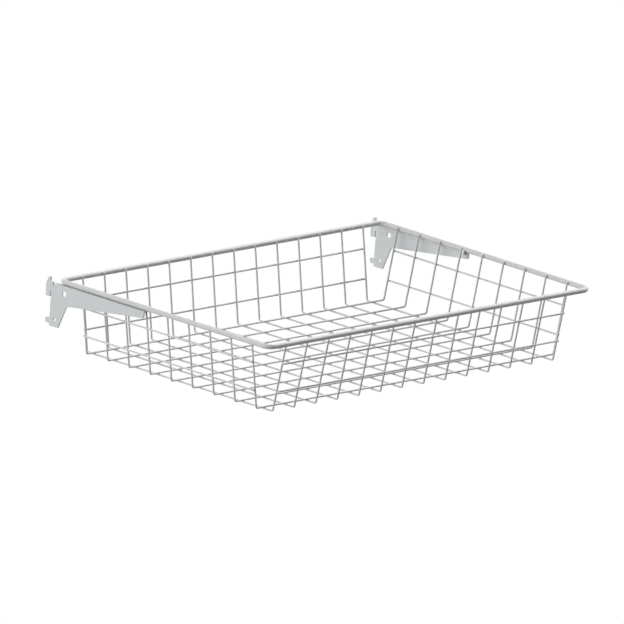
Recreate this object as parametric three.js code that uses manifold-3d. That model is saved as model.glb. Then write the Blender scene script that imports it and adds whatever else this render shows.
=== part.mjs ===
// Wire wall basket: a basket of folded wire mesh whose rim rod lies on two hooked sheet-steel brackets.
// Millimetres, +Z up, +Y towards the wall, +X to the right for someone who faces the wall.
// The origin lies on the front face of the wall uprights, midway between the brackets, at the height
// of the slot edge that the bracket hooks hang on.
import * as THREE from "three";
import { mergeVertices } from "three/addons/utils/BufferGeometryUtils.js";
import Module from "manifold-3d";

// Wire mesh
const MESH_PITCH = 40; // wire to wire, both ways
const DEPTH_WIRE_COUNT = 14; // wires that run front to back, side by side across the width
const WIDTH_WIRE_COUNT = 9; // wires that run left to right, side by side across the depth
const WALL_WIRE_COUNT = 2; // level wires on each wall, above the floor
const WIRE_DIA = 2.5;
const WELD_GAP = 0.1; // clearance between rods that are welded where they touch
const END_OVERHANG = 15.9; // last floor wire to the fold at either end, as if the fold were sharp
const LONG_OVERHANG = 15.2; // the same at the front and at the back
const FOLD_RADIUS = 3; // centre line of the wire where floor turns into wall
const WALL_LEAN = THREE.MathUtils.degToRad(10);
const WALL_WIRE_HEIGHT = 25.5; // lowest level wire above the width wires on the floor
const WALL_WIRE_OVERHANG = 0.9; // end of a level wire past the last upright that it crosses

// Rim rod
const RIM_DIA = 7;
const RIM_ABOVE_FLOOR = 94.4; // rod centre above the centre of the width wires on the floor
const RIM_CORNER_RADIUS = 12;
const WIRE_END_ABOVE_RIM = 2.6; // cut ends of the uprights above the rod's centre

// How the basket sits in front of the wall
const RIM_ABOVE_HOOKS = 14.8;
const RIM_TO_WALL = 10.7; // centre of the rear run of the rim to the uprights' front face
const SEAT_GAP = 0.3; // clearance between the rim and what it lies on or against

// Bracket sheet and the folded ledge under the rim
const SHEET = 2;
const BEND_INSIDE = 0.5; // radii of the crisp pressed folds
const BEND_OUTSIDE = 1;
const PLATE_OUTSET = 3; // inner face of the plate outside the centre of the rim's end run
const LEDGE_PAST_RIM = 0.5; // inner edge of the ledge past that centre, on the basket's side
const WIRE_CLEARANCE = 0.5; // sheet to the wires that pass it
const ARM_WIRE_INDEX = 3; // the arm ends just past this width wire; the one nearest the wall is 0
const ARM_PAST_WIRE = 6.3;
const ARM_TIP_HEIGHT = 9.2;
const ARM_TIP_ROUND = 3;

// Bracket leg against the upright
const LEG_BELOW_HOOK = 48.1;
const LEG_FOOT_WIDTH = 16.7;
const LEG_TOP_REACH = 30.4; // where the sloping front edge would meet the underside of the arm
const LEG_TOP_BELOW_HOOK = 15.7;
const LEG_FILLET = 7;
const FOOT_ROUND = 1.5;

// Upper hook, its notch for the slot edge, and the lower tab
const HOOK_REACH = 10.2;
const HOOK_SHOULDER = 8.5; // height where the sloping back of the hook starts
const HOOK_TOP = 18.1;
const HOOK_TIP_BACK = 5.3;
const HOOK_TIP_FRONT = 1.9;
const HOOK_SADDLE = 12.3; // height of the plate between hook tip and ledge
const FINGER_LENGTH = 9;
const FINGER_TAPER = 0.5;
const NOTCH_WIDTH = 2;
const NOTCH_RECESS = 1; // how far the notch cuts in front of the leg's rear edge
const NOTCH_BELOW_FINGER = 1.5;
const HOOK_ROUND = 1;
const NOTCH_ROUND = 0.5;
const TAB_BELOW_HOOK = 40.9; // centre of the tab
const TAB_HEIGHT = 7.5;
const TAB_REACH = 7.6;
const TAB_ROUND = 2.5;

// Relief cut beside the fold, and the two holes
const RELIEF_TO_WALL = 4.9; // front side of the cut
const RELIEF_WIDTH = 1.9;
const RELIEF_BELOW_BEND = 2.2;
const BIG_HOLE_DIA = 7.4;
const BIG_HOLE_TO_WALL = 24.4;
const BIG_HOLE_BELOW_HOOK = 0;
const SMALL_HOLE_DIA = 4.5;
const SMALL_HOLE_TO_WALL = 9.7;
const SMALL_HOLE_BELOW_HOOK = 38;

// Facets
const WIRE_SIDES = 8;
const RIM_SIDES = 12;
const BEND_STEPS = 5;
const ARC_SEGMENTS = 3;
const HOLE_SIDES = 20;
const WELD_TOLERANCE = 1e-4; // vertices closer than this are one vertex

// Heights in the basket's own frame, where the centre of the rim is zero
const leanRun = Math.tan(WALL_LEAN);
const leanCos = Math.cos(WALL_LEAN);
const widthFloorZ = -RIM_ABOVE_FLOOR;
const depthFloorZ = widthFloorZ - WIRE_DIA - WELD_GAP;

// Half sizes of the floor, fold to fold, and of the rim's centre line
const foldX = (MESH_PITCH * (DEPTH_WIRE_COUNT - 1)) / 2 + END_OVERHANG;
const foldY = (MESH_PITCH * (WIDTH_WIRE_COUNT - 1)) / 2 + LONG_OVERHANG;
const endWallX = (z) => foldX + (z - widthFloorZ) * leanRun;
const longWallY = (z) => foldY + (z - depthFloorZ) * leanRun;
const rimStandOff = ((RIM_DIA + WIRE_DIA) / 2 + WELD_GAP) / leanCos;
const rimX = endWallX(0) + rimStandOff;
const rimY = longWallY(0) + rimStandOff;

// A row of evenly spaced places about zero
const spread = (count) => Array.from({ length: count }, (_, k) => (k - (count - 1) / 2) * MESH_PITCH);
const depthWireX = spread(DEPTH_WIRE_COUNT);
const widthWireY = spread(WIDTH_WIRE_COUNT).reverse(); // from the wall outwards

// Level wires follow each other at the mesh pitch, measured up the leaning wall.
const wallWireZ = (k) => widthFloorZ + WALL_WIRE_HEIGHT + (k - 1) * MESH_PITCH * leanCos;
const wallWireStandOff = (WIRE_DIA + WELD_GAP) / leanCos;

// Where the basket stands in the part's frame
const basketY = -RIM_TO_WALL - rimY;
const rimZ = RIM_ABOVE_HOOKS;

const wasm = await Module();
wasm.setup();

// A rod's centre line as listed points, with one ring of the rod's section at each.
class RodPath extends THREE.Curve {
  constructor(points, closed) {
    super();
    this.points = points;
    this.closed = closed;
    this.steps = points.length - 1;
  }

  getPointAt(u, target = new THREE.Vector3()) {
    return target.copy(this.points[Math.round(u * this.steps)]);
  }

  getTangentAt(u, target = new THREE.Vector3()) {
    const k = Math.round(u * this.steps);
    const first = this.closed ? this.points[this.steps - 1] : this.points[0];
    const last = this.closed ? this.points[1] : this.points[this.steps];
    const before = k > 0 ? this.points[k - 1] : first;
    const after = k < this.steps ? this.points[k + 1] : last;
    return target.subVectors(after, before).normalize();
  }
}

// The arc that takes the place of a corner between two straight runs, as points from tangent to tangent.
function bendPoints(before, corner, after, radius) {
  const back = before.clone().sub(corner).normalize();
  const ahead = after.clone().sub(corner).normalize();
  const half = back.angleTo(ahead) / 2;
  const middle = back.clone().add(ahead).normalize();
  const centre = corner.clone().addScaledVector(middle, radius / Math.sin(half));
  const spoke = corner.clone().addScaledVector(back, radius / Math.tan(half)).sub(centre);
  const axis = ahead.clone().cross(back).normalize();
  const turn = Math.PI - 2 * half;
  return Array.from({ length: BEND_STEPS + 1 }, (_, k) =>
    spoke.clone().applyAxisAngle(axis, (turn * k) / BEND_STEPS).add(centre),
  );
}

// Corners of a regular polygon about a centre.
function polygon(across, up, diameter, sides) {
  const centre = new THREE.Vector2(across, up);
  return Array.from({ length: sides }, (_, k) => {
    const angle = (2 * Math.PI * (k + 0.5)) / sides;
    return new THREE.Vector2(Math.cos(angle), Math.sin(angle)).multiplyScalar(diameter / 2).add(centre);
  });
}

function rodGeometry(path, diameter, sides) {
  const section = new THREE.Shape(polygon(0, 0, diameter, sides));
  return new THREE.ExtrudeGeometry(section, { steps: path.steps, extrudePath: path });
}

// A wire folded into a flat-bottomed U: up one wall, across the floor, up the other wall.
function foldedWire(wallTop, fold, floorZ, place) {
  const topZ = WIRE_END_ABOVE_RIM;
  const corners = [
    place(-wallTop(topZ), topZ),
    place(-fold, floorZ),
    place(fold, floorZ),
    place(wallTop(topZ), topZ),
  ];
  const points = [
    corners[0],
    ...bendPoints(corners[0], corners[1], corners[2], FOLD_RADIUS),
    ...bendPoints(corners[1], corners[2], corners[3], FOLD_RADIUS),
    corners[3],
  ];
  return rodGeometry(new RodPath(points, false), WIRE_DIA, WIRE_SIDES);
}

// A straight wire that reaches equally far to both sides of its middle.
function straightWire(middle, reach) {
  const ends = [middle.clone().sub(reach), middle.clone().add(reach)];
  return rodGeometry(new RodPath(ends, false), WIRE_DIA, WIRE_SIDES);
}

// The rim: one rod bent round four corners and closed on itself, so only its side faces are kept.
function rimGeometry() {
  const corners = [
    new THREE.Vector3(rimX, rimY, 0),
    new THREE.Vector3(-rimX, rimY, 0),
    new THREE.Vector3(-rimX, -rimY, 0),
    new THREE.Vector3(rimX, -rimY, 0),
  ];
  const points = corners.flatMap((corner, k) =>
    bendPoints(corners.at(k - 1), corner, corners[(k + 1) % corners.length], RIM_CORNER_RADIUS),
  );
  const path = new RodPath([...points, points[0].clone()], true);
  const rod = rodGeometry(path, RIM_DIA, RIM_SIDES);
  const sides = rod.groups[1];
  const end = sides.start + sides.count;
  const positions = rod.getAttribute("position").array.slice(3 * sides.start, 3 * end);
  return new THREE.BufferGeometry().setAttribute("position", new THREE.BufferAttribute(positions, 3));
}

// A closed outline through corners of [across, up, radius], with an arc at each corner that has a radius.
function outline(corners) {
  const shape = new THREE.Shape();
  corners.forEach(([across, up, radius], k) => {
    const corner = new THREE.Vector2(across, up);
    if (!radius) {
      if (k === 0) shape.moveTo(across, up);
      else shape.lineTo(across, up);
      return;
    }
    const back = new THREE.Vector2(...corners.at(k - 1)).sub(corner).normalize();
    const ahead = new THREE.Vector2(...corners[(k + 1) % corners.length]).sub(corner).normalize();
    const half = Math.acos(THREE.MathUtils.clamp(back.dot(ahead), -1, 1)) / 2;
    const run = radius / Math.tan(half);
    const middle = back.clone().add(ahead).normalize();
    const centre = corner.clone().addScaledVector(middle, radius / Math.sin(half));
    const from = corner.clone().addScaledVector(back, run).sub(centre).angle();
    const to = corner.clone().addScaledVector(ahead, run).sub(centre).angle();
    shape.absarc(centre.x, centre.y, radius, from, to, back.cross(ahead) > 0);
  });
  return shape;
}

function roundHole(across, up, diameter) {
  return new THREE.Path(polygon(across, up, diameter, HOLE_SIDES));
}

const X_AXIS = new THREE.Vector3(1, 0, 0);
const Y_AXIS = new THREE.Vector3(0, 1, 0);
const Z_AXIS = new THREE.Vector3(0, 0, 1);
const FORWARD = new THREE.Vector3(0, -1, 0);

// Sheet cut to an outline in the YZ plane, its thickness along +X from the given place.
function uprightSheet(shape, x, thickness) {
  const sheet = new THREE.ExtrudeGeometry(shape, {
    depth: thickness,
    bevelEnabled: false,
    curveSegments: ARC_SEGMENTS,
  });
  return sheet.applyMatrix4(new THREE.Matrix4().makeBasis(Y_AXIS, Z_AXIS, X_AXIS).setPosition(x, 0, 0));
}

// A section in the XZ plane drawn out along -Y from the given place.
function forwardStrip(shape, y, length) {
  const strip = new THREE.ExtrudeGeometry(shape, {
    depth: length,
    bevelEnabled: false,
    curveSegments: ARC_SEGMENTS,
  });
  return strip.applyMatrix4(new THREE.Matrix4().makeBasis(X_AXIS, Z_AXIS, FORWARD).setPosition(0, y, 0));
}

function solidOf(geometry) {
  const bare = new THREE.BufferGeometry().setAttribute("position", geometry.getAttribute("position"));
  const merged = mergeVertices(bare, WELD_TOLERANCE);
  return new wasm.Manifold(
    new wasm.Mesh({
      numProp: 3,
      vertProperties: merged.getAttribute("position").array,
      triVerts: new Uint32Array(merged.index.array),
    }),
  );
}

function geometryOf(solid) {
  const mesh = solid.getMesh();
  return new THREE.BufferGeometry()
    .setAttribute("position", new THREE.BufferAttribute(mesh.vertProperties, 3))
    .setIndex(new THREE.BufferAttribute(mesh.triVerts, 1));
}

// The right-hand bracket in the part's frame: plate with hook, leg and arm; folded ledge; upturned ear.
function bracketGeometry() {
  const plateX = rimX + PLATE_OUTSET;
  const ledgeZ = rimZ - RIM_DIA / 2 - SEAT_GAP;
  const bendZ = ledgeZ - SHEET - BEND_INSIDE;
  const armEndY = basketY + widthWireY[ARM_WIRE_INDEX] - ARM_PAST_WIRE;
  const fingerY = NOTCH_WIDTH - NOTCH_RECESS;
  const stepZ = -FINGER_LENGTH - NOTCH_BELOW_FINGER;
  const tabTopZ = -TAB_BELOW_HOOK + TAB_HEIGHT / 2;
  const tabFootZ = -TAB_BELOW_HOOK - TAB_HEIGHT / 2;
  const reliefZ = bendZ - RELIEF_BELOW_BEND;
  const reliefBackY = -RELIEF_TO_WALL + RELIEF_WIDTH;

  const plate = outline([
    [armEndY, ledgeZ - ARM_TIP_HEIGHT, ARM_TIP_ROUND],
    [-LEG_TOP_REACH, -LEG_TOP_BELOW_HOOK, LEG_FILLET],
    [-LEG_FOOT_WIDTH, -LEG_BELOW_HOOK, FOOT_ROUND],
    [0, -LEG_BELOW_HOOK, FOOT_ROUND],
    [0, tabFootZ, 0],
    [TAB_REACH, tabFootZ, TAB_ROUND],
    [TAB_REACH, tabTopZ, TAB_ROUND],
    [0, tabTopZ, 0],
    [0, stepZ, 0],
    [-NOTCH_RECESS, stepZ + NOTCH_RECESS, 0],
    [-NOTCH_RECESS, 0, NOTCH_ROUND],
    [fingerY, 0, NOTCH_ROUND],
    [fingerY, -FINGER_LENGTH, HOOK_ROUND],
    [HOOK_REACH - FINGER_TAPER, -FINGER_LENGTH, HOOK_ROUND],
    [HOOK_REACH, HOOK_SHOULDER, HOOK_ROUND],
    [HOOK_TIP_BACK, HOOK_TOP, HOOK_ROUND],
    [HOOK_TIP_FRONT, HOOK_TOP, HOOK_ROUND],
    [HOOK_TIP_FRONT, HOOK_SADDLE, HOOK_ROUND],
    [reliefBackY, HOOK_SADDLE, HOOK_ROUND],
    [reliefBackY, reliefZ, 0],
    [-RELIEF_TO_WALL, reliefZ, 0],
    [-RELIEF_TO_WALL, bendZ, 0],
    [armEndY, bendZ, 0],
  ]);
  plate.holes.push(
    roundHole(-BIG_HOLE_TO_WALL, -BIG_HOLE_BELOW_HOOK, BIG_HOLE_DIA),
    roundHole(-SMALL_HOLE_TO_WALL, -SMALL_HOLE_BELOW_HOOK, SMALL_HOLE_DIA),
  );

  // The ledge turns in from the top of the plate, just past the line on which the rim lies. However far it
  // is set to reach, it stops short of the basket's leaning wires.
  const wireSideX = endWallX(ledgeZ - rimZ) + WIRE_DIA / 2 / leanCos;
  const ledgeEdgeX = Math.max(rimX - LEDGE_PAST_RIM, wireSideX + WIRE_CLEARANCE);
  const ledge = new THREE.Shape();
  ledge.moveTo(plateX + SHEET, reliefZ);
  ledge.absarc(plateX + SHEET - BEND_OUTSIDE, ledgeZ - BEND_OUTSIDE, BEND_OUTSIDE, 0, Math.PI / 2, false);
  ledge.lineTo(ledgeEdgeX, ledgeZ);
  ledge.lineTo(ledgeEdgeX, ledgeZ - SHEET);
  ledge.absarc(plateX - BEND_INSIDE, bendZ, BEND_INSIDE, Math.PI / 2, 0, true);
  ledge.lineTo(plateX, reliefZ);

  // At its front end the ledge runs on past the last wire and turns up beside the rim.
  const earX = rimX - RIM_DIA / 2 - SEAT_GAP;
  const earBackX = earX - SHEET;
  const earFoldX = earBackX + BEND_OUTSIDE;
  const earFoldZ = ledgeZ - SHEET + BEND_OUTSIDE;
  const ear = new THREE.Shape();
  ear.moveTo(rimX, ledgeZ);
  ear.absarc(earX + BEND_INSIDE, ledgeZ + BEND_INSIDE, BEND_INSIDE, -Math.PI / 2, -Math.PI, true);
  ear.lineTo(earX, rimZ);
  ear.lineTo(earBackX, rimZ);
  ear.absarc(earFoldX, earFoldZ, BEND_OUTSIDE, Math.PI, 1.5 * Math.PI, false);
  ear.lineTo(rimX, ledgeZ - SHEET);
  const earLength = ARM_PAST_WIRE - WIRE_DIA / 2 - WIRE_CLEARANCE;

  const armLength = -RELIEF_TO_WALL - armEndY;
  return geometryOf(
    solidOf(uprightSheet(plate, plateX, SHEET))
      .add(solidOf(forwardStrip(ledge, -RELIEF_TO_WALL, armLength)))
      .add(solidOf(forwardStrip(ear, armEndY + earLength, earLength))),
  );
}

const finishes = {
  wire: { color: 0xb4b7b8, roughness: 0.42, metalness: 0.55 },
  rim: { color: 0xbabdbe, roughness: 0.38, metalness: 0.55 },
  bracket: { color: 0xc3c7c8, roughness: 0.46, metalness: 0.45 },
};

function piece(name, geometry, finish) {
  const mesh = new THREE.Mesh(geometry, new THREE.MeshStandardMaterial(finishes[finish]));
  mesh.name = name;
  return mesh;
}

function makeBasket() {
  const basket = new THREE.Group();
  basket.position.set(0, basketY, rimZ);
  basket.add(piece("rim_rod", rimGeometry(), "rim"));

  depthWireX.forEach((x, k) => {
    const wire = foldedWire(longWallY, foldY, depthFloorZ, (y, z) => new THREE.Vector3(x, y, z));
    basket.add(piece(`depth_wire_${String(k + 1).padStart(2, "0")}`, wire, "wire"));
  });
  widthWireY.forEach((y, k) => {
    const wire = foldedWire(endWallX, foldX, widthFloorZ, (x, z) => new THREE.Vector3(x, y, z));
    basket.add(piece(`width_wire_${k + 1}`, wire, "wire"));
  });

  const endReach = new THREE.Vector3(0, widthWireY[0] + WALL_WIRE_OVERHANG, 0);
  const longReach = new THREE.Vector3(depthWireX.at(-1) + WALL_WIRE_OVERHANG, 0, 0);
  for (let k = 1; k <= WALL_WIRE_COUNT; k += 1) {
    const z = wallWireZ(k);
    const x = endWallX(z) + wallWireStandOff;
    const y = longWallY(z) + wallWireStandOff;
    const left = straightWire(new THREE.Vector3(-x, 0, z), endReach);
    const right = straightWire(new THREE.Vector3(x, 0, z), endReach);
    const front = straightWire(new THREE.Vector3(0, -y, z), longReach);
    const back = straightWire(new THREE.Vector3(0, y, z), longReach);
    basket.add(
      piece(`left_wall_wire_${k}`, left, "wire"),
      piece(`right_wall_wire_${k}`, right, "wire"),
      piece(`front_wall_wire_${k}`, front, "wire"),
      piece(`back_wall_wire_${k}`, back, "wire"),
    );
  }
  return basket;
}

function makeBrackets() {
  const brackets = new THREE.Group();
  const right = piece("right_bracket", bracketGeometry(), "bracket");
  const left = piece("left_bracket", right.geometry, "bracket");
  left.scale.x = -1;
  brackets.add(left, right);
  return brackets;
}

const wallBasket = new THREE.Group();
wallBasket.add(makeBrackets(), makeBasket());

export default wallBasket;
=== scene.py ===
# %% [markdown]
# # A wire wall basket and its two hooked brackets
# The real thing is a shallow storage basket welded from thin steel wire, with one thick rod as its rim.
# The rim lies on two sheet-steel brackets whose hooks hang in slotted wall uprights. Everything wears the
# same silver-grey baked coat. The lesson loads the solid model as a fixed frame, makes a finer piece over
# each of its solids, gives the pieces their coat, and sets up a plain studio with the photograph's view.

# %% Load the solid model
import math

import bmesh
import bpy
from mathutils import Matrix, Vector


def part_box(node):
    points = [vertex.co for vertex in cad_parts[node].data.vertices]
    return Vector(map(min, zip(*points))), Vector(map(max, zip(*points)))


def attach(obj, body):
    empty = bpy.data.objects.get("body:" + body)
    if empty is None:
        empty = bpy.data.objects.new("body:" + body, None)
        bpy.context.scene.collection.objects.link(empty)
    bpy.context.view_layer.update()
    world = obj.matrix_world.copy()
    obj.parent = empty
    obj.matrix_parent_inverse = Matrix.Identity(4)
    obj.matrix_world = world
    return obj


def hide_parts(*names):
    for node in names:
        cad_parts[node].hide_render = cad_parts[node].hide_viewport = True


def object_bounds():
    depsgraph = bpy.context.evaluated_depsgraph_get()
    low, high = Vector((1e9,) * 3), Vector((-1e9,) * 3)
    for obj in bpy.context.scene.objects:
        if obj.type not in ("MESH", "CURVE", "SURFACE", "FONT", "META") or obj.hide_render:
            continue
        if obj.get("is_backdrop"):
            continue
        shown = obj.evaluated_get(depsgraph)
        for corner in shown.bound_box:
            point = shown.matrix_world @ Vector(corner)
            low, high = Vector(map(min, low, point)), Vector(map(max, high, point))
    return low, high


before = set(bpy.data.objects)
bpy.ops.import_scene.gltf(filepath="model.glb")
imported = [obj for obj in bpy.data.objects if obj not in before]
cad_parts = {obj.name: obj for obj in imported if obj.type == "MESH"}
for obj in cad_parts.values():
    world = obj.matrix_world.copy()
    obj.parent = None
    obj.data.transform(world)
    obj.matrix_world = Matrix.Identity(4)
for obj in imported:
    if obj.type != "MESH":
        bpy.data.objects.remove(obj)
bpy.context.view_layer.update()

# %% [markdown]
# ## Sizes
# The pieces go exactly where the solids are. All places could be typed in, but the frame knows them: each
# rod is alike on both sides of its middle, so the middle of its box tells where it is. What a box doesn't
# tell, such as a radius, is written down here, in metres. X runs along the wall, +Y into it and Z up. The
# origin lies on the uprights' front face, midway between the brackets, at the height of the slot edge that
# the hooks hang on. The walls of the basket lean out by ten degrees, so a point on a wall is found from
# its height.

# %% Sizes of the basket
mm = 0.001
X, Y, Z = Vector((1, 0, 0)), Vector((0, 1, 0)), Vector((0, 0, 1))
WIRE = 1.25 * mm  # radius of a wire
ROD = 3.5 * mm  # radius of the rim rod
WELD_GAP = 0.1 * mm  # keeps the solids of two welded rods apart
TOUCH = 2 * WIRE + WELD_GAP  # centre to centre of two wires that are welded where they cross
DEPTH_WIRES, WIDTH_WIRES = 14, 9  # that run front to back, and left to right
LEAN = math.radians(10)
RIM_TO_FLOOR = 94.4 * mm
END_OVERHANG, LONG_OVERHANG = 15.9 * mm, 15.2 * mm  # last wire to the fold, at the ends and front and back


def solid_middle(name):
    """The middle of a solid's box."""
    low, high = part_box(name)
    return (low + high) / 2


DEPTH_WIRE_X = [solid_middle(f"depth_wire_{k + 1:02d}").x for k in range(DEPTH_WIRES)]  # left to right
WIDTH_WIRE_Y = [solid_middle(f"width_wire_{k + 1}").y for k in range(WIDTH_WIRES)]  # from the wall outwards
_, BASKET_Y, RIM_Z = solid_middle("rim_rod")
WIDTH_FLOOR_Z = RIM_Z - RIM_TO_FLOOR  # wires that run left to right
DEPTH_FLOOR_Z = WIDTH_FLOOR_Z - TOUCH  # wires that run front to back, just under them
FOLD_X = DEPTH_WIRE_X[-1] + END_OVERHANG  # from the middle to where floor turns into wall
FOLD_Y = WIDTH_WIRE_Y[0] - BASKET_Y + LONG_OVERHANG


def end_wall_x(z):
    """Half the distance between the left and right walls' wires at a height."""
    return FOLD_X + (z - WIDTH_FLOOR_Z) * math.tan(LEAN)


def long_wall_y(z):
    """Half the distance between the front and back walls' wires at a height."""
    return FOLD_Y + (z - DEPTH_FLOOR_Z) * math.tan(LEAN)


RIM_OUTSET = (ROD + WIRE + WELD_GAP) / math.cos(LEAN)  # rim's centre outside the uprights' centres
RIM_X, RIM_Y = end_wall_x(RIM_Z) + RIM_OUTSET, long_wall_y(RIM_Z) + RIM_OUTSET  # half width, half depth
print("rim:", round(2 * RIM_X, 4), "by", round(2 * RIM_Y, 4), "m, middle of the rod")
print("end walls:", round(2 * end_wall_x(RIM_Z), 4), "m apart at the rim")

# %% [markdown]
# ## Camera
# In the photograph, edges that are parallel on the basket stay parallel, so it was taken from far away
# with a long lens. A distant perspective camera would nearly give that view. A camera of the type ORTHO
# gives it exactly, and its scale is the width of the picture in metres. The three angles were found by
# laying the solid model's lines over the photograph. The small roll tips the picture, as the photograph
# is tipped.

# %% Camera
VIEW_TURN, VIEW_RISE, VIEW_ROLL = (math.radians(a) for a in (-45.5106, 14.4679, 3.9702))
PICTURE_WIDTH = 0.82435
AIM_LEFT, AIM_UP = 10.61 * mm, 55.52 * mm  # middle of the picture from the middle of the basket's floor
CAMERA_DISTANCE = 2.5
towards = Vector((
    math.sin(VIEW_TURN) * math.cos(VIEW_RISE),
    -math.cos(VIEW_TURN) * math.cos(VIEW_RISE),
    math.sin(VIEW_RISE),
))
level = Vector((math.cos(VIEW_TURN), math.sin(VIEW_TURN), 0))
across = Matrix.Rotation(VIEW_ROLL, 3, towards) @ level
upward = towards.cross(across)
aim = Vector((0, BASKET_Y, WIDTH_FLOOR_Z)) - across * AIM_LEFT + upward * AIM_UP

camera = bpy.data.objects.new("camera", bpy.data.cameras.new("camera"))
camera.data.type = "ORTHO"
camera.data.ortho_scale = PICTURE_WIDTH
turned = Matrix((across, upward, towards)).transposed().to_4x4()
camera.matrix_world = Matrix.Translation(aim + towards * CAMERA_DISTANCE) @ turned
bpy.context.scene.collection.objects.link(camera)
bpy.context.scene.camera = camera
print("camera aims at", [round(v, 4) for v in aim])

# %% [markdown]
# ## Rings and bends
# Every wire and the rim is a round bar that was bent in one plane. A curve object with a round bevel would
# do, but its ends would be flat discs with knife edges. Here the rod is made by hand from rings of points,
# one behind the other, with faces between them. This cell makes a ring, the faces between rings, and a
# bend, which is an arc of short steps in the place of a corner.

# %% Rings and bends
def ring(middle, half_a, half_b, sides):
    """The points of an ellipse, from its middle and its two half axes."""
    turns = [2 * math.pi * s / sides for s in range(sides)]
    return [middle + half_a * math.cos(turn) + half_b * math.sin(turn) for turn in turns]


def ring_faces(rings, sides, closed=False):
    """Faces between rings of points, with a lid on each end unless the last ring joins the first."""
    faces = []
    for k in range(rings if closed else rings - 1):
        here, there = k * sides, (k + 1) % rings * sides
        for s in range(sides):
            t = (s + 1) % sides
            faces.append((here + s, here + t, there + t, there + s))
    if not closed:
        faces += [tuple(range(sides)), tuple(range((rings - 1) * sides, rings * sides))]
    return faces


def round_corner(before, corner, after, radius, steps):
    """The points of the arc that takes the place of a corner."""
    back, ahead = (before - corner).normalized(), (after - corner).normalized()
    half = back.angle(ahead) / 2
    centre = corner + (back + ahead).normalized() * (radius / math.sin(half))
    spoke = corner + back * (radius / math.tan(half)) - centre
    axis = ahead.cross(back)
    turn = (math.pi - 2 * half) / steps
    return [centre + Matrix.Rotation(turn * k, 3, axis) @ spoke for k in range(steps + 1)]


print("a box of four-sided rings has", len(ring_faces(2, 4)), "faces")

# %% [markdown]
# ## A rod from a path
# The section is swept along the path: one ring for each point of it, square to the way the path runs. An
# open end gets two smaller rings more, because a wire that was cropped by a shear and then coated has a
# softly rounded end.

# %% Sweep a rod
END_STEPS = [(0.0, 0.66), (0.10, 0.88), (0.30, 1.0)]  # distance from the end and width, in radii
WIRE_SIDES = 14


def sweep_rod(path, radius, sides, square, closed=False):
    """Points and faces of a rod along a flat path. square points straight out of the path's plane."""
    count = len(path)
    stations = []
    for k, point in enumerate(path):
        before = path[k - 1] if k or closed else point
        after = path[(k + 1) % count] if k < count - 1 or closed else point
        tangent = (after - before).normalized()
        if closed or 0 < k < count - 1:
            stations.append((point, tangent, radius))
        else:
            inward = tangent if k == 0 else -tangent
            ends = [(point + inward * radius * d, tangent, radius * w) for d, w in END_STEPS]
            stations.extend(ends if k == 0 else reversed(ends))
    points = []
    for middle, tangent, width in stations:
        points += ring(middle, square * width, tangent.cross(square) * width, sides)
    return points, ring_faces(len(stations), sides, closed)


print("a straight wire has", len(sweep_rod([X, -X], WIRE, WIRE_SIDES, Z)[0]), "points")

# %% [markdown]
# ## From points to a piece
# A piece is an object that rides on one of the model's two moving bodies: the basket lifts off, the
# brackets stay. A mesh could take the points and faces as they are, but a bmesh can also turn all faces
# outwards first. A second helper then ties the piece to the body that carries it and hides the solid that
# it stands for.

# %% Make a piece
def new_object(name, build):
    """An object in the scene from a finished bmesh."""
    mesh = bpy.data.meshes.new(name)
    build.to_mesh(mesh)
    build.free()
    made = bpy.data.objects.new(name, mesh)
    bpy.context.scene.collection.objects.link(made)
    return made


def carry(made, body, finish, *solids):
    """Ties a piece to its body and hides the solids that it stands for; finish is not used."""
    made.data.shade_smooth()
    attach(made, body)
    if solids:
        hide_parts(*solids)
    return made


def basket_piece(name, shape, finish, *solids):
    """A piece of the basket from its points and faces."""
    points, faces = shape
    build = bmesh.new()
    corners = [build.verts.new(p) for p in points]
    for face in faces:
        build.faces.new([corners[i] for i in face])
    bmesh.ops.recalc_face_normals(build, faces=build.faces)
    return carry(new_object(name, build), "basket", finish, *solids)


# %% [markdown]
# ## Folded wires
# The mesh was welded flat and its edges were then folded up, so one wire runs up a wall, across the floor
# and up the opposite wall. The wires could be copies of one wire from an Array modifier, but each of them
# is a piece by itself. So one function works out a path of two bends between three straight runs, and two
# loops call it: for fourteen wires that run front to back, and for nine that run left to right above them.

# %% Folded wires
FOLD_RADIUS, FOLD_STEPS = 3 * mm, 8
WIRE_TOP_Z = RIM_Z + 2.6 * mm  # where the wires are cropped


def folded_wire(name, middle, run, square, wall, fold, floor_z):
    """A wire along run, through a point at height 0. wall gives how far out the wire is at a height."""
    reach = wall(WIRE_TOP_Z)
    tips = [(-reach, WIRE_TOP_Z), (-fold, floor_z), (fold, floor_z), (reach, WIRE_TOP_Z)]
    tips = [middle + run * out + Z * height for out, height in tips]
    path = [
        tips[0],
        *round_corner(*tips[:3], FOLD_RADIUS, FOLD_STEPS),
        *round_corner(*tips[1:], FOLD_RADIUS, FOLD_STEPS),
        tips[3],
    ]
    return basket_piece(f"coated_{name}", sweep_rod(path, WIRE, WIRE_SIDES, square), "wire", name)


wire_pieces = []
for k, x in enumerate(DEPTH_WIRE_X):
    middle = Vector((x, BASKET_Y, 0))
    made = folded_wire(f"depth_wire_{k + 1:02d}", middle, Y, X, long_wall_y, FOLD_Y, DEPTH_FLOOR_Z)
    wire_pieces.append(made)
for k, y in enumerate(WIDTH_WIRE_Y):
    middle = Vector((0, y, 0))
    made = folded_wire(f"width_wire_{k + 1}", middle, X, Y, end_wall_x, FOLD_X, WIDTH_FLOOR_Z)
    wire_pieces.append(made)
print("folded wires:", len(wire_pieces))

# %% [markdown]
# ## Level wires on the walls
# Two straight wires run along the outside of each wall, one mesh width apart up the slope. They stop just
# past the last upright that they cross, and their cropped ends stay visible at the corners. Each could be
# worked out from the wall that it lies on, but its solid is straight, so the solid's box gives both ends.

# %% Level wires
WALLS = {"left": -X, "right": X, "front": -Y, "back": Y}  # and the way out of the basket there


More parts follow.
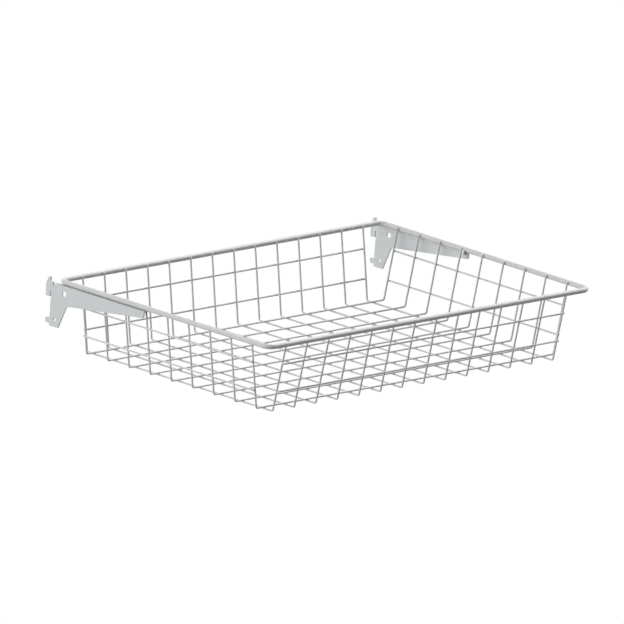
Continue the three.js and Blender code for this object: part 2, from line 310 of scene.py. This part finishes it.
def square_out(way):
    """Square out of the leaning wall on that side."""
    return way * math.cos(LEAN) - Z * math.sin(LEAN)


level_wires = []  # (middle, half run, way square out of the wall)
for k in range(2):
    for side, way in WALLS.items():
        name = f"{side}_wall_wire_{k + 1}"
        low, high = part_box(name)
        middle = (low + high) / 2
        along = Y if way.x else X
        run = along * along.dot(high - low) / 2
        level_wires.append((middle, run, square_out(way)))
        shape = sweep_rod([middle - run, middle + run], WIRE, WIRE_SIDES, square_out(way))
        wire_pieces.append(basket_piece(f"coated_{name}", shape, "wire", name))
print("level wires:", len(level_wires))

# %% [markdown]
# ## Rim
# The rim is a seven millimetre rod bent round four corners and closed on itself. It is the same sweep with
# the path closed, so it has no ends, and with more sides, because its highlights are the widest in the
# picture.

# %% Rim
RIM_BEND, RIM_BEND_STEPS = 12 * mm, 14
RIM_SIDES = 28
corners = [
    Vector((sx * RIM_X, BASKET_Y + sy * RIM_Y, RIM_Z))
    for sx, sy in ((1, 1), (-1, 1), (-1, -1), (1, -1))
]
rim_path = []
for k, corner in enumerate(corners):
    rim_path += round_corner(corners[k - 1], corner, corners[(k + 1) % 4], RIM_BEND, RIM_BEND_STEPS)
rim = basket_piece("coated_rim", sweep_rod(rim_path, ROD, RIM_SIDES, Z, closed=True), "rim", "rim_rod")
print("rim:", len(rim.data.polygons), "faces")

# %% [markdown]
# ## Welds
# Where two rods cross, a pulse of current melts them together, and the coat then fills the corner between
# them with a small fillet. A sphere at each crossing would stick out at the sides. The real spot is a
# saddle: it spreads along one rod at its foot and along the other at its head, with a narrow neck between.
# Five ellipses stacked from one rod to the other give that shape, and the first and last lie hidden inside
# the rods.

# %% Weld spots
SPOT_SIDES = 12
# The two rings in each rod: depth, reach along the rod, share of the rod's width at that depth, and swell
# beyond it. These lengths, and half the width of the neck, are in radii of the thinner rod.
SPOT_RINGS = [(0.55, 1.45, 0.85, 0.0), (0.28, 1.10, 1.0, 0.05)]
SPOT_NECK = 0.85


def spot_foot(radius, small):
    """The rings of a weld in one rod: depth in it, half length along it, half width across it."""
    rings = []
    for depth, reach, share, swell in SPOT_RINGS:
        deep = depth * small
        rod_width = math.sqrt(2 * radius * deep - deep * deep)
        rings.append((deep, reach * small, share * rod_width + swell * small))
    return rings


def weld_spot(at, along_first, along_second, first, second, room=math.inf):
    """One weld. at is where the rods touch; room is what is left of the second rod up to its end."""
    out = along_first.cross(along_second).normalized()
    small = min(first, second)
    foot = [(-deep, along, wide) for deep, along, wide in spot_foot(first, small)]
    neck = (0.0, SPOT_NECK * small, SPOT_NECK * small)
    head = [(deep, wide, along) for deep, along, wide in spot_foot(second, small)]
    rings = [*foot, neck, *reversed(head)]
    points = []
    for height, reach_first, reach_second in rings:
        half_first, half_second = along_first * reach_first, along_second * min(reach_second, room)
        points += ring(at + out * height, half_first, half_second, SPOT_SIDES)
    return points, ring_faces(len(rings), SPOT_SIDES)


def weld_piece(name, spots):
    """One piece that holds a whole group of welds."""
    points, faces = [], []
    for spot in spots:
        more, sides = weld_spot(*spot)
        faces += [tuple(i + len(points) for i in side) for side in sides]
        points += more
    print(name, len(spots), "welds")
    return basket_piece(name, (points, faces), "wire")


print("a weld has", len(weld_spot(Vector(), X, Y, WIRE, WIRE)[0]), "points")

# %% [markdown]
# ## Where the welds are
# On the floor every wire that runs front to back touches every wire above it. On the walls each upright
# touches two level wires and, near its top, the inside of the rim. A leaning upright isn't square to the
# rim's height, so each touching point lies back along the wall's own slope from the outer rod's centre.

# %% Place the welds
def wall_spots(outer_middle, outer_radius, run, out):
    """The welds between one outer rod and all the uprights that it passes."""
    axis, places = (1, WIDTH_WIRE_Y) if run.y else (0, DEPTH_WIRE_X)
    upright = run.normalized().cross(out)
    spots = []
    for place in places:
        at = outer_middle - out * (outer_radius + WELD_GAP / 2)
        at[axis] = place
        room = run.length - abs(place - outer_middle[axis])
        spots.append((at, upright, out.cross(upright), WIRE, outer_radius, room))
    return spots


floor_z = (WIDTH_FLOOR_Z + DEPTH_FLOOR_Z) / 2
floor_spots = [(Vector((x, y, floor_z)), Y, -X, WIRE, WIRE) for x in DEPTH_WIRE_X for y in WIDTH_WIRE_Y]
level_spots = [spot for middle, run, out in level_wires for spot in wall_spots(middle, WIRE, run, out)]
rim_spots = []
for way in WALLS.values():
    middle = Vector((way.x * RIM_X, BASKET_Y + way.y * RIM_Y, RIM_Z))
    rim_spots += wall_spots(middle, ROD, Y if way.x else X, square_out(way))
weld_pieces = [
    weld_piece("floor_weld_spots", floor_spots),
    weld_piece("wall_weld_spots", level_spots),
    weld_piece("rim_weld_spots", rim_spots),
]

# %% [markdown]
# ## Brackets, first as an outline
# A bracket is cut from two millimetre sheet and folded: a plate with the hook, the leg and the arm, a
# narrow ledge turned in along the arm's top to carry the rim, and a small ear at the ledge's front end that
# keeps the rim from sliding inwards. It could be carved from a block with Boolean modifiers, but the
# natural way is a sheet worker's: draw the middle of the sheet, folds included, and give it its thickness
# afterwards. The outline is a list of corners with radii.

# %% Bracket outline
SHEET = 2 * mm
SEAT_GAP = 0.3 * mm  # between the rim and what it lies on or against
PLATE_OUTSET = 3 * mm  # inner face of the plate outside the rim's centre
LEDGE_PAST_RIM = 0.5 * mm  # inner edge of the ledge past that centre
ARM_PAST_WIRE = 6.3 * mm  # front end of the arm past the fourth wire from the wall
PLATE_X = RIM_X + PLATE_OUTSET + SHEET / 2  # middle of the upright sheet
LEDGE_Z = RIM_Z - ROD - SEAT_GAP - SHEET / 2  # middle of the ledge
LEDGE_EDGE_X = RIM_X - LEDGE_PAST_RIM
EAR_X = RIM_X - ROD - SEAT_GAP - SHEET / 2
EAR_LENGTH = 4.55 * mm
ARM_END_Y = WIDTH_WIRE_Y[3] - ARM_PAST_WIRE
LEDGE_BACK_Y = -4.9 * mm
PLATE_CORNERS = [  # distance from the wall, height, radius, all in millimetres
    (ARM_END_Y / mm, 1.8, 3), (-30.4, -15.7, 7),  # underside of the arm
    (-16.7, -48.1, 1.5), (0, -48.1, 1.5),  # foot of the leg
    (0, -44.65, 0), (7.6, -44.65, 2.5), (7.6, -37.15, 2.5), (0, -37.15, 0),  # lower tab
    (0, -10.5, 0), (-1, -9.5, 0), (-1, 0, 0.5), (1, 0, 0.5),  # notch that takes the slot's edge
    (1, -9, 1), (9.7, -9, 1), (10.2, 8.5, 1),  # finger of the hook, and its back
    (5.3, 18.1, 1), (1.9, 18.1, 1), (1.9, 12.3, 1), (-3, 12.3, 1),  # tip of the hook, and the saddle
    (-3, 6.3, 0), (LEDGE_BACK_Y / mm, 6.3, 0),  # relief cut beside the fold
    (LEDGE_BACK_Y / mm, LEDGE_Z / mm, 0), (ARM_END_Y / mm, LEDGE_Z / mm, 0),  # fold line of the ledge
]
OUTLINE_STEPS = 6
HOLES = [(-24.4, 0, 7.4), (-9.7, -38, 4.5)]  # distance from the wall, height, diameter
HOLE_SIDES = 36


def plate_outline():
    """The outline as points in the plane x = 0, with an arc at each corner that has a radius."""
    corners = [Vector((0, y * mm, z * mm)) for y, z, _ in PLATE_CORNERS]
    points = []
    for k, (_, _, radius) in enumerate(PLATE_CORNERS):
        before, corner, after = corners[k - 1], corners[k], corners[(k + 1) % len(corners)]
        if radius:
            points += round_corner(before, corner, after, radius * mm, OUTLINE_STEPS)
        else:
            points.append(corner)
    return points


def hole_outline(y, z, diameter):
    """A round hole as points in the same plane."""
    radius = diameter / 2 * mm
    return ring(Vector((0, y * mm, z * mm)), Y * radius, Z * radius, HOLE_SIDES)


print("bracket outline:", len(plate_outline()), "points")

# %% [markdown]
# ## Brackets, folded
# The outline and the holes become one flat face, filled with triangles that are then dissolved. The ledge
# and the ear are joined to its edges, so the folds are shared edges. They could be separate strips laid
# against each other, but then the sheet would be torn at each fold once it has a thickness.

# %% Folded sheet
def folded_sheet(hand):
    """The middle surface of a bracket. hand is 1 for the right one and -1 for the left one."""
    build = bmesh.new()

    def corner(x, y, z):
        return build.verts.new((hand * x, y, z))

    outlines = [plate_outline()] + [hole_outline(*hole) for hole in HOLES]
    loops = [[corner(PLATE_X, p.y, p.z) for p in outline] for outline in outlines]
    edges = [build.edges.new((loop[i - 1], loop[i])) for loop in loops for i in range(len(loop))]
    bmesh.ops.triangle_fill(build, edges=edges, use_beauty=True, use_dissolve=True)
    ear_back_y = ARM_END_Y + EAR_LENGTH
    foot = [corner(EAR_X, ARM_END_Y, LEDGE_Z), corner(EAR_X, ear_back_y, LEDGE_Z)]
    inner = [corner(LEDGE_EDGE_X, ear_back_y, LEDGE_Z), corner(LEDGE_EDGE_X, LEDGE_BACK_Y, LEDGE_Z)]
    top = [corner(EAR_X, ear_back_y, RIM_Z), corner(EAR_X, ARM_END_Y, RIM_Z)]
    build.faces.new([*loops[0][-2:], *foot, *inner])
    build.faces.new([*reversed(foot), *reversed(top)])
    bmesh.ops.recalc_face_normals(build, faces=build.faces)
    return build


sheet = folded_sheet(1)
print("sheet in one bracket:", round(sum(face.calc_area() for face in sheet.faces) / mm ** 2), "mm2")
sheet.free()

# %% [markdown]
# ## Brackets, thickened and rounded
# A Solidify modifier gives the sheet its thickness on both sides. A Bevel modifier that works by angle
# would round all edges alike, so it rounds each edge by its own weight: the outside of a fold by a
# millimetre, the inside by half of that, and a cut edge by a quarter, which is what deburring and the coat
# leave. A Weighted Normal modifier keeps the flat faces flat in the shading.

# %% Weight of an edge
ROUNDING = 1 * mm  # of an edge whose weight is 1
FOLD_OUTSIDE, FOLD_INSIDE, CUT_EDGE = 1.0, 0.5, 0.25
ROUNDING_STEPS = 3
SHARP = math.radians(35)  # an edge with a flatter angle isn't rounded
NEAR = 0.05 * mm


def edge_weight(edge):
    """How much of the rounding an edge of the thick sheet gets."""
    if len(edge.link_faces) != 2 or edge.calc_face_angle() < SHARP:
        return 0.0

    def along(x, z):
        return all(abs(abs(v.co.x) - x) < NEAR and abs(v.co.z - z) < NEAR for v in edge.verts)

    t = SHEET / 2
    if along(PLATE_X + t, LEDGE_Z + t) or along(EAR_X - t, LEDGE_Z - t):
        return FOLD_OUTSIDE
    if along(PLATE_X - t, LEDGE_Z - t) or along(EAR_X + t, LEDGE_Z + t):
        return FOLD_INSIDE
    return CUT_EDGE


print("edges rounded by", [ROUNDING / mm * share for share in (FOLD_OUTSIDE, FOLD_INSIDE, CUT_EDGE)], "mm")

# %% Brackets
def make_bracket(side, hand):
    """One bracket: the folded sheet, its thickness, and then its rounded edges."""
    made = new_object(f"coated_{side}_bracket", folded_sheet(hand))
    thick = made.modifiers.new("sheet", "SOLIDIFY")
    thick.thickness, thick.offset, thick.use_even_offset = SHEET, 0, True
    build = bmesh.new()
    build.from_object(made, bpy.context.evaluated_depsgraph_get())
    made.modifiers.remove(thick)
    weights = build.edges.layers.float.new("bevel_weight_edge")
    for edge in build.edges:
        edge[weights] = edge_weight(edge)
    build.to_mesh(made.data)
    build.free()
    bevel = made.modifiers.new("rounded edges", "BEVEL")
    bevel.limit_method, bevel.width, bevel.segments = "WEIGHT", ROUNDING, ROUNDING_STEPS
    bevel.use_clamp_overlap = False
    made.modifiers.new("flat faces", "WEIGHTED_NORMAL")
    print(made.name, len(made.data.polygons), "faces before the edges are rounded")
    return carry(made, "brackets", "bracket", f"{side}_bracket")


brackets = [make_bracket("left", -1), make_bracket("right", 1)]

# %% [markdown]
# ## Shader sums written as sums
# A coat that isn't one flat colour needs small sums on noise values. In the shader editor each sum is a
# node, and a long chain is hard to read. This class wraps one output socket, so that 0.4 + 0.1 * noise
# adds the Math nodes by itself. Every other node comes from its one method, which sets the node's settings
# first and then fills its sockets with values or links.

# %% A socket that can be added and multiplied
class Field:
    """One output socket of a node, or no socket yet, in a node tree."""

    def __init__(self, tree, socket=None):
        self.tree, self.socket = tree, socket

    def node(self, kind, settings=None, sockets=None, output=0):
        made = self.tree.nodes.new(kind)
        for name, value in (settings or {}).items():
            setattr(made, name, value)
        for name, value in (sockets or {}).items():
            if isinstance(value, Field):
                self.tree.links.new(value.socket, made.inputs[name])
            else:
                made.inputs[name].default_value = value
        return Field(self.tree, made.outputs[output] if made.outputs else None)

    def math(self, operation, first, second):
        return self.node("ShaderNodeMath", {"operation": operation}, {0: first, 1: second})

    def __add__(self, other):
        return self.math("ADD", self, other)

    def __radd__(self, other):
        return self.math("ADD", other, self)

    def __sub__(self, other):
        return self.math("SUBTRACT", self, other)

    def __rsub__(self, other):
        return self.math("SUBTRACT", other, self)

    def __mul__(self, other):
        return self.math("MULTIPLY", self, other)

    def __rmul__(self, other):
        return self.math("MULTIPLY", other, self)

    def mixed(self, low, high):
        """A colour between two colours, by this value."""
        sockets = {0: self, 6: low, 7: high}
        return self.node("ShaderNodeMix", {"data_type": "RGBA", "clamp_factor": True}, sockets, 2)


def empty_tree(owner):
    """A fresh start in the node tree of a material or a world."""
    owner.use_nodes = True
    owner.node_tree.nodes.clear()
    return Field(owner.node_tree)


print("operators:", [name for name in vars(Field) if name.endswith(("add__", "sub__", "mul__"))])

# %% [markdown]
# ## The baked silver-grey coat
# The steel is coated with a powder that melts into a satin skin. It holds fine aluminium flakes, so close
# up it glitters in specks a fifth of a millimetre wide. The skin flows a little as it bakes and sets with
# the shallow waves that painters call orange peel, about a millimetre apart, and it is a shade lighter and
# darker in soft clouds a few centimetres wide, where it lies thicker and thinner. A painted picture would
# have to be unwrapped onto every wire. All three are noise in the object's own coordinates instead, so
# they have the right size on every piece and move with it.

# %% Coat
CLOUDS, FLAKES, WAVES = 45.0, 4800.0, 950.0  # noise scales, in features per metre
CLOUD_DETAIL, WAVE_DETAIL = 3.0, 2.0  # layers of finer noise on top
CLOUD_TONE, FLAKE_TONE = 0.8, 0.25  # swing of the colour between its two tones
CLOUD_GLOSS, FLAKE_GLOSS, WAVE_GLOSS = 0.10, -0.12, 0.05  # swing of the roughness
PEEL_STRENGTH, FLAKE_HEIGHT = 0.2, 0.05  # how much the waves tilt the light, and a flake beside them


def coat(name, dark, light, roughness, peel_depth):
    """The coat between two tones. peel_depth is how deep its waves are."""
    material = bpy.data.materials.new(name)
    start = empty_tree(material)
    place = start.node("ShaderNodeTexCoord", output="Object")

    def noise(scale, detail):
        sockets = {"Vector": place, "Scale": scale, "Detail": detail}
        return start.node("ShaderNodeTexNoise", None, sockets, "Fac")

    clouds, waves = noise(CLOUDS, CLOUD_DETAIL), noise(WAVES, WAVE_DETAIL)
    cells = start.node("ShaderNodeTexVoronoi", None, {"Vector": place, "Scale": FLAKES}, "Color")
    flakes = start.node("ShaderNodeSeparateColor", None, {"Color": cells}, "Red")
    # Each noise varies about 0.5, so what is left after taking that off swings both ways.
    cloud, flake, wave = clouds - 0.5, flakes - 0.5, waves - 0.5
    tone = 0.5 + CLOUD_TONE * cloud + FLAKE_TONE * flake
    gloss = roughness + CLOUD_GLOSS * cloud + FLAKE_GLOSS * flake + WAVE_GLOSS * wave
    height = waves + FLAKE_HEIGHT * flakes
    bump = start.node(
        "ShaderNodeBump", None,
        {"Strength": PEEL_STRENGTH, "Distance": peel_depth, "Height": height}, "Normal",
    )
    colour = tone.mixed(dark, light)
    skin = start.node(
        "ShaderNodeBsdfPrincipled", None,
        {"Base Color": colour, "Roughness": gloss, "Metallic": 0.0, "Normal": bump}, "BSDF",
    )
    start.node("ShaderNodeOutputMaterial", None, {"Surface": skin})
    print("coat", name, len(material.node_tree.nodes), "nodes")
    return material


# Each has a name, a darker and a lighter tone, a roughness and the depth of its waves.
wire_coat = coat("silver_wire_coat", (0.532, 0.532, 0.527, 1), (0.658, 0.659, 0.654, 1), 0.50, 0.04 * mm)
rim_coat = coat("silver_rim_coat", (0.51, 0.513, 0.506, 1), (0.63, 0.634, 0.628, 1), 0.48, 0.05 * mm)
sheet_coat = coat("silver_sheet_coat", (0.50, 0.525, 0.53, 1), (0.61, 0.637, 0.642, 1), 0.50, 0.05 * mm)
for pieces, material in ((wire_pieces + weld_pieces, wire_coat), ([rim], rim_coat), (brackets, sheet_coat)):
    for made in pieces:
        made.data.materials.append(material)

# %% [markdown]
# ## Studio
# The photograph has a plain white background that lights the object hardly at all. A world of strength 1
# would be white, but it would also light every side alike and take the shape out of the rods. So the world
# is white only for the rays that come from the camera or from a reflection, and it gives all other rays a
# dim fill light.

# %% World
FILL = 0.05


def shows_backdrop(start):
    """1 for a ray from the camera, from a reflection or through glass, and 0 for a ray that only lights."""
    camera_ray, glossy_ray, glass_ray = (
        start.node("ShaderNodeLightPath", output=ray)
        for ray in ("Is Camera Ray", "Is Glossy Ray", "Is Transmission Ray")
    )
    return start.math("MAXIMUM", start.math("MAXIMUM", camera_ray, glossy_ray), glass_ray)


world = bpy.data.worlds.new("studio")
bpy.context.scene.world = world
start = empty_tree(world)
strength = FILL + (1 - FILL) * shows_backdrop(start)
light = start.node("ShaderNodeBackground", None, {"Color": (1, 1, 1, 1), "Strength": strength})
start.node("ShaderNodeOutputWorld", None, {"Surface": light})
bpy.context.scene.view_settings.view_transform = "Standard"
print("fill light", FILL)

# %% [markdown]
# ## Lamps
# The photograph was lit softly, from the left and a little behind, and from above on the right, and the
# sides that face the viewer stay in shade. Large area lamps would do, but their light fades along the
# basket, and the photograph's doesn't. A sun lights everything alike, and its angle makes its shadows soft:
# from a sun that is eighty degrees wide, a thin wire leaves no shadow that could be seen.

# %% Lamps
LAMP_DISTANCE = 3  # only where the lamp's icon shows: a sun lights the same from anywhere


def soft_sun(name, direction, spread, brightness):
    """A far lamp, spread degrees wide. A white surface that faces it shows its brightness."""
    lamp = bpy.data.objects.new(name, bpy.data.lights.new(name, "SUN"))
    way = Vector(direction).normalized()
    lamp.data.energy = brightness * math.pi
    lamp.data.angle = math.radians(spread)
    lamp.location = Vector((0, BASKET_Y, 0)) + way * LAMP_DISTANCE
    lamp.rotation_mode = "QUATERNION"
    lamp.rotation_quaternion = way.to_track_quat("Z", "Y")
    bpy.context.scene.collection.objects.link(lamp)
    print(name, "brightness", brightness)


soft_sun("top_light", (0.64, -0.03, 0.77), spread=60, brightness=1.13)
soft_sun("left_light", (-0.90, 0.36, 0.24), spread=84, brightness=0.885)

# %% [markdown]
# ## Floor
# The basket hangs on a wall, so the pale floor lies well below it, and its shadow stays out of the
# photograph's view. Seen from higher up, the rim of a plain disc would cut across the picture. This one is
# mixed with white, for the same rays as the world, and the more so the further out, until it ends as white
# as the world.

# %% Floor
FLOOR_RADIUS, FLOOR_Z, FLOOR_SIDES = 1.3, -1.3, 96
FLOOR_WHITE = 0.85  # share of white in the middle
build = bmesh.new()
bmesh.ops.create_circle(build, cap_ends=True, radius=FLOOR_RADIUS, segments=FLOOR_SIDES)
floor = new_object("floor", build)
floor.location = (0, BASKET_Y, FLOOR_Z)
floor_paint = bpy.data.materials.new("pale_floor")
start = empty_tree(floor_paint)
pale = start.node("ShaderNodeBsdfDiffuse", None, {"Color": (0.62, 0.62, 0.61, 1)})
white = start.node("ShaderNodeEmission", None, {"Color": (1, 1, 1, 1), "Strength": 1.0})
spot = start.node("ShaderNodeTexCoord", output="Object")
from_middle = start.node("ShaderNodeVectorMath", {"operation": "LENGTH"}, {0: spot}, "Value")
outward = from_middle * (1 / FLOOR_RADIUS)
whiteness = (FLOOR_WHITE + (1 - FLOOR_WHITE) * (outward * outward)) * shows_backdrop(start)
paint = start.node("ShaderNodeMixShader", None, {0: whiteness, 1: pale, 2: white})
start.node("ShaderNodeOutputMaterial", None, {"Surface": paint})
floor.data.materials.append(floor_paint)
floor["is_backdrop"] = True
print("floor", len(floor.data.vertices), "points")

# %% [markdown]
# ## Last measure
# The box of the visible pieces is printed. The visible pieces may not outgrow the solid model.

# %% Size of the visible pieces
low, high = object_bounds()
print("visible box", [round(v, 4) for v in high - low], "m")
